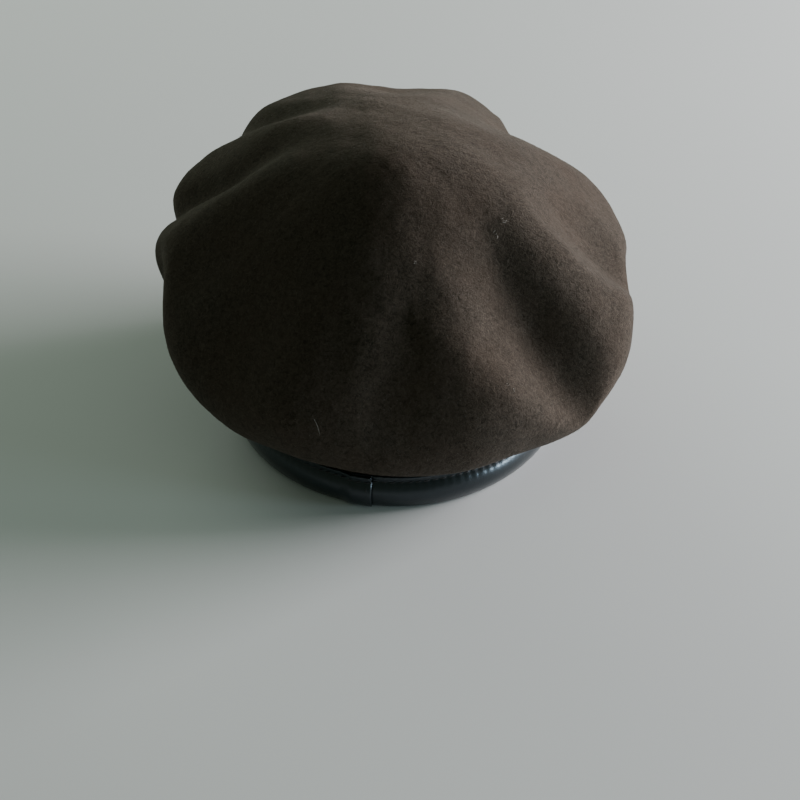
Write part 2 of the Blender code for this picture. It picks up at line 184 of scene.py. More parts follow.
# Studio: place, target, width, height, power and colour of each light.
LIGHTS = {
    "window": ((1.50, 0.44, 0.44), (0.0, 0.0, 0.08), 0.9, 0.6, 58.0, (1.0, 0.945, 0.94)),
    "window_edge": ((1.28, -0.34, 0.11), (0.0, 0.0, 0.02), 0.30, 0.20, 8.0, (0.70, 0.87, 1.0)),
    "rear_wall": ((-0.8, 1.4, 0.5), (0.0, 0.0, 0.08), 1.4, 0.7, 9.5, (0.88, 1.0, 0.83)),
}
FILL_COLOR = (0.77, 0.94, 0.72, 1.0)
FILL_STRENGTH = 0.165
FLOOR_HALF = 3.0
FLOOR_LEVEL = -0.0003
CAMERA_PLACE = (0.0016, -0.7163, 0.5095)
CAMERA_TILT = 54.0
CAMERA_LENS = 76.5


def smooth_step(low, high, x):
    x = np.clip((np.asarray(x, float) - low) / (high - low), 0.0, 1.0)
    return x * x * (3.0 - 2.0 * x)


# Meshes


def add_mesh(name, points, faces, material, smooth=True):
    mesh = bpy.data.meshes.new(name)
    mesh.from_pydata([tuple(p) for p in np.asarray(points, float)], [], faces)
    mesh.materials.append(material)
    mesh.validate()
    if smooth:
        mesh.shade_smooth()
    obj = bpy.data.objects.new(name, mesh)
    bpy.context.scene.collection.objects.link(obj)
    return obj


def grid_faces(rows, columns, close_columns, start=0):
    """Quads between rows of points, each row `columns` long."""
    faces = []
    last = columns if close_columns else columns - 1
    for r in range(rows - 1):
        for c in range(last):
            d = (c + 1) % columns
            a = start + r * columns
            b = a + columns
            faces.append((a + c, b + c, b + d, a + d))
    return faces


def apply_modifiers(obj):
    graph = bpy.context.evaluated_depsgraph_get()
    graph.update()
    mesh = bpy.data.meshes.new_from_object(obj.evaluated_get(graph))
    old = obj.data
    obj.modifiers.clear()
    obj.data = mesh
    mesh.name = obj.name
    bpy.data.meshes.remove(old)


def wave_noise(points, size, seed, octaves=3):
    """Smooth noise about -1..1 at points in metres, from seeded sums of waves."""
    rng = np.random.default_rng(seed)
    total = np.zeros(len(points))
    weight = 1.0
    for _ in range(octaves):
        for _ in range(6):
            direction = rng.normal(size=3)
            direction /= np.linalg.norm(direction)
            phase = rng.uniform(0, math.tau)
            total += weight * np.sin(points @ direction * math.tau / size + phase)
        size *= 0.53
        weight *= 0.6
    return total / 5.0


# Crown shape


def oval_radius(azimuth, half_width):
    along = np.cos(azimuth) / half_width
    across = np.sin(azimuth) / (half_width * OVAL)
    return 1.0 / np.sqrt(along**2 + across**2)


def rim_at(azimuth):
    table = np.array(RIM)
    knots = np.concatenate([table[-2:, 0] - 360, table[:, 0], table[:3, 0] + 360])
    degrees = (np.degrees(azimuth) + 180.0) % 360.0 - 180.0
    index = np.clip(np.searchsorted(knots, degrees, side="right") - 1, 0, len(knots) - 2)
    step = knots[index + 1] - knots[index]
    u = (degrees - knots[index]) / step
    found = []
    for column in (1, 2):
        values = table[:, column]
        values = np.concatenate([values[-2:], values, values[:3]])
        slopes = np.gradient(values, knots)
        found.append(
            (2 * u**3 - 3 * u**2 + 1) * values[index]
            + (u**3 - 2 * u**2 + u) * step * slopes[index]
            + (3 * u**2 - 2 * u**3) * values[index + 1]
            + (u**3 - u**2) * step * slopes[index + 1]
        )
    return found


def smooth_line(points, parts=8):
    points = np.array(points, float)
    knots = np.vstack([2 * points[0] - points[1], points, 2 * points[-1] - points[-2]])
    line = []
    for a, b, c, d in zip(knots, knots[1:], knots[2:], knots[3:]):
        for u in np.arange(parts) / parts:
            cubic = (3 * b - a - 3 * c + d) * u**3
            square = (2 * a - 5 * b + 4 * c - d) * u**2
            line.append(0.5 * (2 * b + (c - a) * u + square + cubic))
    line.append(points[-1])
    return np.array(line)


FOLD_LINES = [(smooth_line(points), *rest) for points, *rest in FOLDS]


def fold_height(x, y):
    x = x / MM
    y = y / MM
    total = np.zeros(x.shape)
    for line, height, spread_left, spread_right in FOLD_LINES:
        steps = np.diff(line, axis=0)
        lengths = np.hypot(steps[:, 0], steps[:, 1])
        starts = np.concatenate([[0.0], np.cumsum(lengths)[:-1]])
        nearest = np.full(x.shape, np.inf)
        spread = np.full(x.shape, float(spread_left))
        along = np.zeros(x.shape)
        for (ax, ay), (dx, dy), length, start in zip(line, steps, lengths, starts):
            u = np.clip(((x - ax) * dx + (y - ay) * dy) / length**2, 0.0, 1.0)
            ex = x - ax - u * dx
            ey = y - ay - u * dy
            distance = np.hypot(ex, ey)
            closer = distance < nearest
            side = np.where(dx * ey > dy * ex, spread_left, spread_right)
            nearest = np.where(closer, distance, nearest)
            spread = np.where(closer, side, spread)
            along = np.where(closer, (start + u * length) / lengths.sum(), along)
        total += height * np.exp(-((nearest / spread) ** 2)) * smooth_step(-0.05, 0.55, along)
    return total * MM


def crown_top_ring(azimuth, fraction):
    rim_radius, rim_height = rim_at(azimuth)
    plain_radius = PLAIN_RADIUS[0] + PLAIN_RADIUS[1] * np.sin(azimuth)
    plain_radius = plain_radius - PLAIN_SQUARE * np.cos(2 * azimuth)
    plain_height = PLAIN_HEIGHT[0] + PLAIN_HEIGHT[1] * np.sin(azimuth)
    blend = smooth_step(0.35, 1.0, fraction)
    radius = (plain_radius + (rim_radius - plain_radius) * blend) * fraction
    edge = plain_height + (rim_height - plain_height) * blend + RIM_ROUNDING
    start = APEX_ROUNDING**DOME_POWER
    drop = (fraction**2 + APEX_ROUNDING**2) ** (DOME_POWER / 2) - start
    full = (1.0 + APEX_ROUNDING**2) ** (DOME_POWER / 2) - start
    height = APEX_HEIGHT - (APEX_HEIGHT - edge) * drop / full
    return radius, height, fold_height(radius * np.cos(azimuth), radius * np.sin(azimuth))


def crown_rings(azimuth):
    """Control rings of (radius, height) from the apex over the rim to the hem."""
    rim_radius, rim_height = rim_at(azimuth)
    lift = fold_height(rim_radius * np.cos(azimuth), rim_radius * np.sin(azimuth))
    hem = oval_radius(azimuth, FELT_HEM_RADIUS)
    rings = []
    for fraction in TOP_FRACTIONS:
        radius, height, fold = crown_top_ring(azimuth, fraction)
        rings.append((radius, height + fold))
    rings.append((rim_radius * 0.995, rim_height + 0.80 * RIM_ROUNDING + 0.9 * lift))
    rings.append((rim_radius * 1.005, rim_height - 0.15 * RIM_ROUNDING + 0.6 * lift))
    under = rim_height - RIM_ROUNDING + 0.3 * lift - FELT_HEM_TOP
    for out, up, least in UNDER_ROWS:
        radius = hem + (rim_radius - hem) * out
        rings.append((radius, FELT_HEM_TOP + np.maximum(least * MM, under * up)))
    for height in HEM_HEIGHTS:
        rings.append((hem, np.full_like(hem, height)))
    return rings


def spline_rows(rows, parts):
    """An open uniform cubic B-spline through the rows of points, ends kept."""
    rows = np.array(rows)
    first = 2 * rows[:1] - rows[1:2]
    last = 2 * rows[-1:] - rows[-2:-1]
    knots = np.concatenate([first, rows, last])
    out = []
    for i in range(len(rows) - 1):
        for u in np.arange(parts) / parts:
            weights = (
                (1 - u) ** 3 / 6,
                (3 * u**3 - 6 * u**2 + 4) / 6,
                (-3 * u**3 + 3 * u**2 + 3 * u + 1) / 6,
                u**3 / 6,
            )
            out.append(sum(w * knots[i + j] for j, w in enumerate(weights)))
    out.append(rows[-1])
    return np.array(out)


def ring_points(azimuth, rings):
    return [np.stack([r * np.cos(azimuth), r * np.sin(azimuth), z], 1) for r, z in rings]


def azimuths(count):
    return np.arange(count) * math.tau / count - math.pi


def crown_surface(count, parts):
    azimuth = azimuths(count)
    return spline_rows(ring_points(azimuth, crown_rings(azimuth)), parts)


def domed_mesh(name, rows, material):
    """A surface whose first row is one point, repeated."""
    count = rows.shape[1]
    points = np.vstack([rows[0, :1], rows[1:].reshape(-1, 3)])
    faces = [(0, 1 + i, 1 + (i + 1) % count) for i in range(count)]
    faces += grid_faces(len(rows) - 1, count, True, 1)
    return add_mesh(name, points, faces, material)


def thicken(obj, thickness, offset):
    modifier = obj.modifiers.new("thickness", "SOLIDIFY")
    modifier.thickness = thickness
    modifier.offset = offset
    modifier.use_even_offset = True
    modifier.thickness_clamp = 1.0
    apply_modifiers(obj)
    obj.data.shade_smooth()


def sheet_area(obj):
    mesh = obj.data
    return sum(polygon.area for polygon in mesh.polygons)


# Materials


class Shader:
    """A Principled material, with short calls that add nodes and link them."""

    def __init__(self, name, **constants):
        self.material = bpy.data.materials.new(name)
        self.material.use_nodes = True
        self.nodes = self.material.node_tree.nodes
        self.links = self.material.node_tree.links
        self.surface = self.nodes["Principled BSDF"]
        for key, value in constants.items():
            self.surface.inputs[key.replace("_", " ")].default_value = value
        self.place = self.nodes.new("ShaderNodeTexCoord").outputs["Object"]

    def add(self, kind, out=0, inputs=None, **properties):
        node = self.nodes.new("ShaderNode" + kind)
        for key, value in properties.items():
            setattr(node, key, value)
        for key, value in (inputs or {}).items():
            self.feed(node.inputs[key], value)
        return node.outputs[out]

    def feed(self, socket, value):
        if isinstance(value, bpy.types.NodeSocket):
            self.links.new(value, socket)
        else:
            socket.default_value = value

    def stretched(self, scale, rotation=(0.0, 0.0, 0.0)):
        inputs = {"Vector": self.place, "Scale": scale, "Rotation": rotation}
        return self.add("Mapping", inputs=inputs)

    def noise(self, scale, detail=3.0, roughness=0.55, distortion=0.0, place=None):
        inputs = {
            "Vector": place or self.place,
            "Scale": scale,
            "Detail": detail,
            "Roughness": roughness,
            "Distortion": distortion,
        }
        return self.add("TexNoise", inputs=inputs)

    def cells(self, scale, feature="F1", out="Distance", place=None, randomness=1.0):
        inputs = {"Vector": place or self.place, "Scale": scale, "Randomness": randomness}
        return self.add("TexVoronoi", out=out, inputs=inputs, feature=feature)

    def math(self, operation, a, b=0.0, clamp=False):
        return self.add("Math", inputs={0: a, 1: b}, operation=operation, use_clamp=clamp)

    def ramp(self, value, low, high, start, end):
        inputs = {"Value": value, "From Min": low, "From Max": high, "To Min": start, "To Max": end}
        return self.add("MapRange", inputs=inputs)

    def mix(self, factor, a, b, blend="MIX"):
        node = self.nodes.new("ShaderNodeMix")
        node.data_type = "RGBA"
        node.blend_type = blend
        self.feed(node.inputs["Factor"], factor)
        self.feed(node.inputs[6], (*a, 1.0) if isinstance(a, tuple) else a)
        self.feed(node.inputs[7], (*b, 1.0) if isinstance(b, tuple) else b)
        return node.outputs[2]

    def color(self, value):
        self.feed(self.surface.inputs["Base Color"], value)

    def roughness(self, value):
        self.feed(self.surface.inputs["Roughness"], value)

    def bumps(self, *layers):
        """Layers of (height, distance in metres, strength), the coarse ones first."""
        normal = None
        for height, distance, strength in layers:
            inputs = {"Height": height, "Distance": distance, "Strength": strength}
            if normal is not None:
                inputs["Normal"] = normal
            normal = self.add("Bump", inputs=inputs)
        self.feed(self.surface.inputs["Normal"], normal)


def felt_material():
    felt = Shader("brown wool felt", Roughness=0.95)
    felt.surface.inputs["Sheen Weight"].default_value = 0.10
    felt.surface.inputs["Sheen Roughness"].default_value = 0.5
    felt.surface.inputs["Sheen Tint"].default_value = (0.80, 0.72, 0.64, 1.0)
    felt.surface.inputs["Specular IOR Level"].default_value = 0.08
    broad = felt.noise(26.0, 3.0, 0.6)
    mottle = felt.noise(270.0, 3.0, 0.6, 0.5)
    nap = felt.noise(510.0, 3.0, 0.62, 1.0)
    fibre = felt.noise(1500.0, 3.0, 0.7, 2.0)
    curl = felt.noise(260.0, 2.0, 0.6, 2.4)
    strand = felt.ramp(felt.math("ABSOLUTE", felt.math("SUBTRACT", curl, 0.5)), 0.0, 0.022, 1.0, 0.0)
    base = felt.mix(felt.ramp(nap, 0.34, 0.66, 0.0, 1.0), (0.016, 0.0131, 0.0096), (0.063, 0.0505, 0.0410))
    base = felt.mix(felt.ramp(mottle, 0.36, 0.64, 0.0, 0.45), base, (0.052, 0.0402, 0.0322))
    base = felt.mix(felt.ramp(broad, 0.38, 0.66, 0.0, 0.30), base, (0.050, 0.032, 0.0225))
    base = felt.mix(felt.ramp(fibre, 0.54, 0.76, 0.0, 0.55), base, (0.135, 0.112, 0.091))
    base = felt.mix(felt.math("MULTIPLY", strand, 0.35), base, (0.118, 0.097, 0.080))
    felt.color(base)
    felt.bumps((mottle, 0.0007, 0.30), (nap, 0.0007, 0.60), (fibre, 0.0003, 0.6))
    return felt.material


def fibre_material(name, dark, light):
    fibre = Shader(name, Roughness=0.8)
    fibre.surface.inputs["Sheen Weight"].default_value = 0.2
    fibre.color(fibre.mix(fibre.noise(420.0, 2.0), dark, light))
    return fibre.material


def leather_material():
    leather = Shader("black leather", Roughness=0.4)
    leather.surface.inputs["Specular IOR Level"].default_value = 0.42
    leather.surface.inputs["Specular Tint"].default_value = (0.70, 0.86, 1.0, 1.0)
    leather.surface.inputs["Coat Weight"].default_value = 0.55
    leather.surface.inputs["Coat Roughness"].default_value = 0.27
    grain = leather.cells(1250.0, "SMOOTH_F1")
    crease = leather.noise(160.0, 4.0, 0.6, 0.8)
    broad = leather.noise(45.0, 3.0, 0.6)
    tone = leather.ramp(broad, 0.35, 0.65, 0.0, 1.0)
    base = leather.mix(tone, (0.0028, 0.0048, 0.0060), (0.0054, 0.0084, 0.0102))
    base = leather.mix(leather.ramp(crease, 0.58, 0.75, 0.0, 0.4), base, (0.013, 0.016, 0.017))
    leather.color(base)
    leather.roughness(leather.ramp(broad, 0.3, 0.7, 0.26, 0.38))
    leather.bumps((crease, 0.0005, 0.16), (grain, 0.0002, 0.30))
    return leather.material


def thread_material(name, dark, light, twist=900.0):
    thread = Shader(name, Roughness=0.62)
    place = thread.stretched((1.0, 1.0, 1.6), (0.4, 0.3, 0.6))
    inputs = {"Vector": place, "Scale": twist, "Distortion": 0.6, "Detail": 1.0}
    ply = thread.add("TexWave", out=1, inputs=inputs, bands_direction="DIAGONAL")
    thread.color(thread.mix(ply, dark, light))
    thread.bumps((ply, 0.00012, 0.5))
    return thread.material


def lining_material():
    lining = Shader("black satin lining", Roughness=0.36)
    lining.surface.inputs["Sheen Weight"].default_value = 0.10
    lining.surface.inputs["Specular IOR Level"].default_value = 0.45
    lining.surface.inputs["Anisotropic"].default_value = 0.35
    weave = lining.stretched((1.0, 1.0, 0.35))
    yarn = lining.noise(2400.0, 2.0, 0.5, 0.0, weave)
    broad = lining.noise(70.0, 3.0, 0.6, 0.4)
    tone = lining.ramp(broad, 0.35, 0.68, 0.0, 1.0)
    lining.color(lining.mix(tone, (0.010, 0.010, 0.012), (0.022, 0.021, 0.025)))
    lining.roughness(lining.ramp(yarn, 0.3, 0.7, 0.30, 0.46))
    lining.bumps((broad, 0.0010, 0.25), (yarn, 0.00012, 0.35))
    return lining.material


def tape_material():
    tape = Shader("black cotton tape", Roughness=0.92)
    inputs = {"Vector": tape.place, "Scale": 700.0, "Distortion": 1.2, "Detail": 2.0}
    rib = tape.add("TexWave", out=1, inputs=inputs, bands_direction="Z")
    lint = tape.noise(1600.0, 3.0, 0.7)
    tone = tape.math("MULTIPLY", rib, lint)
    tape.color(tape.mix(tone, (0.015, 0.015, 0.015), (0.060, 0.058, 0.056)))
    tape.bumps((rib, 0.0003, 0.6), (lint, 0.0002, 0.5))
    return tape.material


def label_material():
    label = Shader("woven label", Roughness=0.82)
    across = {"Vector": label.place, "Scale": 620.0, "Distortion": 0.4, "Detail": 1.0}
    warp = label.add("TexWave", out=1, inputs=across, bands_direction="X")
    weft = label.add("TexWave", out=1, inputs={**across, "Scale": 820.0}, bands_direction="Z")
    cloth = label.math("MULTIPLY", warp, weft)
    stain = label.noise(180.0, 4.0, 0.6)
    base = label.mix(cloth, (0.40, 0.37, 0.31), (0.62, 0.59, 0.52))
    label.color(label.mix(label.ramp(stain, 0.45, 0.75, 0.0, 0.35), base, (0.33, 0.28, 0.21)))
    label.bumps((cloth, 0.0002, 0.6))
    return label.material


def floor_material():
    floor = Shader("pale studio floor", Roughness=0.75)
    tone = floor.noise(3.0, 3.0, 0.5)
    floor.color(floor.mix(tone, (0.675, 0.715, 0.74), (0.715, 0.75, 0.775)))
    return floor.material


# Pieces


def finish_piece(obj, slot, *nodes):
    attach(obj, "root")
    if nodes:
        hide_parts(*nodes)
    return obj


def build_felt(material):
    rows = crown_surface(FELT_AZIMUTHS, FELT_PARTS)
    flat = rows.reshape(-1, 3)
    radial = flat / np.maximum(np.linalg.norm(flat, axis=1), 1e-6)[:, None]
    up = smooth_step(0.020, 0.030, flat[:, 2])
    soft = sum(depth * wave_noise(flat, size, seed) for depth, size, seed in FELT_WAVES)
    rows = (flat + radial * (soft * up)[:, None]).reshape(rows.shape)
    rows[0] = rows[0, :1]
    felt = domed_mesh("felt_shell", rows, material)
    area = sheet_area(felt)
    thicken(felt, FELT_THICKNESS, -1.0)
    finish_piece(felt, "felt", "felt_crown")
    return felt, area


def fibre_mesh(name, roots, normals, lengths, girth, lift, curl, rng, material):
    """Loose curling fibres on a surface, each a thin three-sided tapering tube."""
    count = len(roots)
    heading = rng.normal(size=(count, 3))
    heading -= normals * np.sum(heading * normals, 1)[:, None]
    heading /= np.linalg.norm(heading, axis=1)[:, None]
    side = np.cross(normals, heading)
    steps = FIBRE_RINGS - 1
    bend = rng.normal(0.0, curl, (count, 2))
    turn = np.zeros(count)
    place = roots - normals * 0.00015
    girths = np.sin(np.pi * (0.12 + 0.80 * np.arange(FIBRE_RINGS) / steps)) * girth
    rings = []
    for k in range(FIBRE_RINGS):
        for i in range(3):
            spoke = math.tau * i / 3
            offset = (np.cos(spoke) * side + np.sin(spoke) * normals) * girths[k]
            rings.append(place + offset)
        turn = turn + bend[:, 0] + bend[:, 1] * k / steps
        forward = np.cos(turn)[:, None] * heading + np.sin(turn)[:, None] * side
        rise = lift * math.cos(math.pi * (k + 0.3) / steps)
        place = place + (forward + normals * rise[:, None]) * (lengths / steps)[:, None]
    points = np.stack(rings, 1).reshape(-1, 3)
    size = 3 * FIBRE_RINGS
    pattern = grid_faces(FIBRE_RINGS, 3, True)
    pattern += [(2, 1, 0), (size - 3, size - 2, size - 1)]
    faces = []
    for start in range(0, count * size, size):
        faces += [tuple(start + v for v in face) for face in pattern]
    return add_mesh(name, points, faces, material)


def felt_samples(felt, count, rng):
    """Random points on the felt's outer face above the band, and the normals there."""
    mesh = felt.data
    centres = np.array([p.center for p in mesh.polygons])
    normals = np.array([p.normal for p in mesh.polygons])
    areas = np.array([p.area for p in mesh.polygons])
    middle = np.array([0.0, 0.0, 0.06])
    outward = np.sum((centres - middle) * normals, 1) > 0.0
    # The first half of the faces is the surface before its thickness was added.
    outward &= np.arange(len(centres)) < len(mesh.polygons) // 2
    outward &= centres[:, 2] > NAP_LOWEST
    shares = np.where(outward, areas, 0.0)
    chosen = rng.choice(len(centres), count, p=shares / shares.sum())
    jitter = rng.uniform(-0.5, 0.5, (count, 3)) * NAP_SCATTER
    found = normals[chosen]
    jitter -= found * np.sum(jitter * found, 1)[:, None]
    return centres[chosen] + jitter, found


def build_nap(felt, material, lint_finish):
    rng = np.random.default_rng(41)
    roots, normals = felt_samples(felt, NAP_FIBRES, rng)
    lengths = rng.uniform(*NAP_LENGTHS, len(roots))
    lift = rng.uniform(*NAP_LIFTS, len(roots))
    nap = fibre_mesh("wool_nap", roots, normals, lengths, NAP_GIRTH, lift, 0.7, rng, material)
    finish_piece(nap, "felt")
    tree = nearest_root(roots)
    places, outs, sizes, rises = [], [], [], []
    for x, y, z, strands, length, rise in LINT:
        nearest = tree(np.array([x, y, z]) * MM)
        for _ in range(strands):
            place = roots[nearest] + rng.normal(0.0, LINT_SCATTER, 3)
            places.append(place + normals[nearest] * 0.0003)
            outs.append(normals[nearest])
            sizes.append(length * MM * rng.uniform(0.7, 1.2))
            rises.append(rise)
    places, outs, sizes, rises = map(np.array, (places, outs, sizes, rises))
    lint = fibre_mesh("lint_fibres", places, outs, sizes, LINT_GIRTH, rises, 1.0, rng, lint_finish)
    finish_piece(lint, "felt")


def nearest_root(points):
    return lambda place: int(np.argmin(np.sum((points - place) ** 2, 1)))


def band_arc():
    """Angle in the round section against distance along the outer leather face."""
    angles = np.radians(np.linspace(0.0, 360.0, 3601) + LAP_END)
    x = BAND_HALF_WIDTH * np.cos(angles)
    y = BAND_HALF_WIDTH * OVAL * np.sin(angles)
    steps = np.hypot(np.diff(x), np.diff(y))
    return angles, np.concatenate([[0.0], np.cumsum(steps)])


ARC_ANGLES, ARC_LENGTHS = band_arc()
BAND_LENGTH = ARC_LENGTHS[-1]
STITCHES = round(BAND_LENGTH / STITCH_PITCH)
PITCH = BAND_LENGTH / STITCHES


def angle_at(distance):
    return np.interp(distance, ARC_LENGTHS, ARC_ANGLES)


def lap_raise(angle, height=None):
    """How far the lapped end stands out at an angle in the round section, in radians."""
    degrees = np.degrees(angle)
    degrees = np.where(degrees > 180.0, degrees - 360.0, degrees)
    raised = LAP_RAISE * smooth_step(LAP_START, LAP_FULL, degrees)
    raised = np.where(degrees <= LAP_END + 1e-6, raised, 0.0)
    if height is not None:
        raised = raised * smooth_step(0.0, 0.0016, height)
    return raised


def pucker(distance, height):
    """Height of the leather over its plain outer wall, drawn in by each stitch."""
    phase = distance / PITCH * math.tau
    hole = 0.5 + 0.5 * np.cos(phase)
    line = np.exp(-(((height - STITCH_HEIGHT) / STITCH_DENT_WIDTH) ** 2))
    above = smooth_step(STITCH_HEIGHT, OUTER_TOP, height)
    below = np.exp(-(((height - STITCH_HEIGHT + PUCKER_DROP) / PUCKER_WIDTH) ** 2))
    middle = STITCH_HEIGHT / 2
    swell = SWELL * np.maximum(1.0 - ((height - middle) / middle) ** 2, -DRAWN_IN / SWELL)
    raised = (above * PUCKER_ABOVE + below * PUCKER_BELOW) * (0.5 - hole)
    return swell - line * (STITCH_DENT + HOLE_DENT * hole) + raised


def skin_section():
    """The binding's outer skin: (radial offset, height, normal), and which wall."""
    points = []
    outer = np.concatenate([np.linspace(OUTER_TOP, 0.0115, 14), np.linspace(0.0105, CORNER, 9)])
    for height in outer:
        points.append((0.0, height, 1.0, 0.0))
    for turn in np.radians((18, 36, 54, 72, 90)):
        cosine, sine = np.cos(turn), np.sin(turn)
        points.append((CORNER * (cosine - 1), CORNER * (1 - sine), cosine, -sine))
    points.append((-HEM_WIDTH / 2, 0.0, 0.0, -1.0))
    for turn in np.radians((0, 18, 36, 54, 72, 90)):
        cosine, sine = np.cos(turn), np.sin(turn)
        points.append((-HEM_WIDTH + CORNER * (1 - sine), CORNER * (1 - cosine), -sine, -cosine))
    for height in np.linspace(0.0024, INNER_TOP, 18):
        points.append((-HEM_WIDTH, height, -1.0, 0.0))
    return np.array(points)


def section_loop(skin, column_distance, angle, tongue=False):
    """One closed section of the strip at a place along it, as points in the frame."""
    offset, height, nx, nz = skin.T
    outside = nx > 0.5
    inside = nx < -0.5
    lift = np.where(outside, pucker(column_distance, height), 0.0)
    lift = np.where(inside, 0.35 * pucker(column_distance, np.minimum(height, OUTER_TOP)), lift)
    raised = 0.0 if tongue else lap_raise(angle, height) * np.clip(nx, 0, 1)
    wave = sum(depth * math.sin(column_distance * rate + turn) for depth, rate, turn in EDGE_WAVES)
    top = smooth_step(0.010, OUTER_TOP, height) * outside
    out = offset + nx * (lift + raised)
    up = height + wave * top
    back_out = out - nx * LEATHER
    back_up = up - nz * LEATHER
    # Each cut edge of the strip is rounded by one point at its middle.
    edge_out = out - nx * LEATHER / 2
    edge_up = up + 0.00022
    loop_out = np.concatenate([out, edge_out[-1:], back_out[::-1], edge_out[:1]])
    loop_up = np.concatenate([up, edge_up[-1:], back_up[::-1], edge_up[:1]])
    radius = BAND_HALF_WIDTH + loop_out
    return np.stack([radius * math.cos(angle), radius * OVAL * math.sin(angle), loop_up], 1)


def strip_mesh(sections, start):
    rows = np.array(sections)
    count = rows.shape[1]
    faces = grid_faces(len(rows), count, True, start)
    faces.append(tuple(start + i for i in range(count)))
    faces.append(tuple(start + (len(rows) - 1) * count + i for i in reversed(range(count))))
    return rows.reshape(-1, 3), faces


def build_leather(material):
    skin = skin_section()
    columns = STITCHES * COLUMNS_PER_STITCH
    distances = np.linspace(0.0, BAND_LENGTH, columns + 1)
    distances[0] = 0.0002
    strip = [section_loop(skin, d, float(angle_at(d))) for d in distances]
    points, faces = strip_mesh(strip, 0)
    # The strip's other end, under the lapped one.
    tongue_skin = skin[skin[:, 2] > 0.99]
    under = []
    for degrees in np.linspace(UNDERLAP[0], LAP_END + 0.1, UNDERLAP[1]):
        angle = math.radians(degrees)
        under.append(section_loop(tongue_skin, 0.0, angle, tongue=True))
    more, more_faces = strip_mesh(under, len(points))
    leather = add_mesh("leather_band", np.vstack([points, more]), faces + more_faces, material)
    finish_piece(leather, "leather", "leather_binding")
    return leather


def stitch_points(start, end, out_start, out_end, arch, sides=8, rings=9, radius=THREAD):
    """A thread lying from start to end, bowed outward, as a closed tapered tube."""
    start, end = np.array(start), np.array(end)
    direction = end - start
    direction /= np.linalg.norm(direction)
    outward = np.array(out_start) + np.array(out_end)
    outward /= np.linalg.norm(outward)
    side = np.cross(direction, outward)
    side /= np.linalg.norm(side)
    points = []
    for k in range(rings):
        u = k / (rings - 1)
        centre = start + (end - start) * u + outward * arch * math.sin(math.pi * u) ** 0.7
        girth = radius * (0.45 + 0.55 * math.sin(math.pi * min(max(u, 0.04), 0.96)) ** 0.4)
        for i in range(sides):
            turn = math.tau * i / sides + 1.1 * u
            ply = 1.0 + 0.13 * math.cos(2 * (turn - 6.0 * u))
            points.append(centre + girth * ply * (math.cos(turn) * side + math.sin(turn) * outward))
    return points


def stitch_mesh(name, stitches, material, sides=8, rings=9):
    points, faces = [], []
    for stitch in stitches:
        start = len(points)
        points += stitch
        faces += [tuple(reversed(face)) for face in grid_faces(rings, sides, True, start)]
        faces.append(tuple(start + i for i in range(sides)))
        faces.append(tuple(start + (rings - 1) * sides + i for i in reversed(range(sides))))
    return add_mesh(name, points, faces, material)


def band_point(distance, height, off, inner=False):
    angle = float(angle_at(distance % BAND_LENGTH))
    if inner:
        radius = BAND_HALF_WIDTH - HEM_WIDTH - off
        sign = -1.0
    else:
        raised = float(lap_raise(angle, height))
        radius = BAND_HALF_WIDTH + raised + float(pucker(distance, height)) + off
        sign = 1.0
    point = (radius * math.cos(angle), radius * OVAL * math.sin(angle), height)
    return point, (sign * math.cos(angle) * OVAL, sign * math.sin(angle), 0.0)


def build_band_stitches(needle, bobbin):
    rng = np.random.default_rng(12)
    outer, inner = [], []
    for k in range(STITCHES):
        jitter = rng.normal(0.0, STITCH_JITTER, 4)
        middle = (k + 0.5) * PITCH + jitter[0]
        half = STITCH_SHARE / 2 * PITCH
        slant = STITCH_SLANT + jitter[1]
        a, na = band_point(middle - half, STITCH_HEIGHT - slant, 0.00005)
        b, nb = band_point(middle + half, STITCH_HEIGHT + slant, 0.00005)
        outer.append(stitch_points(a, b, na, nb, 0.00022))
        a, na = band_point(middle - half, STITCH_HEIGHT + slant, 0.00012, inner=True)
        b, nb = band_point(middle + half, STITCH_HEIGHT - slant, 0.00012, inner=True)
        inner.append(stitch_points(a, b, na, nb, 0.00015))
    outer = stitch_mesh("band_needle_stitches", outer, needle)
    finish_piece(outer, "thread", "binding_needle_thread")
    inner = stitch_mesh("band_bobbin_stitches", inner, bobbin)
    finish_piece(inner, "thread", "binding_bobbin_thread")


def build_lap_stitches(material):
    angle = math.radians(LAP_END - 1.5)
    radius = BAND_HALF_WIDTH + LAP_RAISE + 0.0001
    normal = (math.cos(angle) * OVAL, math.sin(angle), 0.0)
    stitches = []
    for low in LAP_STITCHES:
        ends = []
        for height in (low, low + LAP_STITCH):
            lift = float(pucker(BAND_LENGTH - 0.0025, height)) * 0.8
            reach = radius + lift
            ends.append((reach * math.cos(angle), reach * OVAL * math.sin(angle), height))
        stitches.append(stitch_points(ends[0], ends[1], normal, normal, 0.0002))
    finish_piece(stitch_mesh("lap_end_stitches", stitches, material), "thread", "lap_thread")


def lining_seam(azimuth):
    radius, height, lift = crown_top_ring(azimuth, SEAM_FRACTION)
    return radius, height + np.minimum(lift, 0.0) - LINING_CLEARANCE


def wrinkled(rows, seed, depth, size):
    """Rows of points moved inward and outward by noise, less near the first rows."""
    flat = rows.reshape(-1, 3)
    share = np.linspace(0, 1, len(rows))
    weight = np.repeat(smooth_step(0.0, 0.18, share), rows.shape[1])
    radial = flat * np.array([1.0, 1.0, 0.0])
    radial /= np.maximum(np.linalg.norm(radial, axis=1), 1e-6)[:, None]
    stretch = flat * np.array([1.0, 1.0, 0.45])
    amount = depth * weight * wave_noise(stretch, size, seed, 4)
    return (flat - radial * np.maximum(amount, -0.0008)[:, None]).reshape(rows.shape)


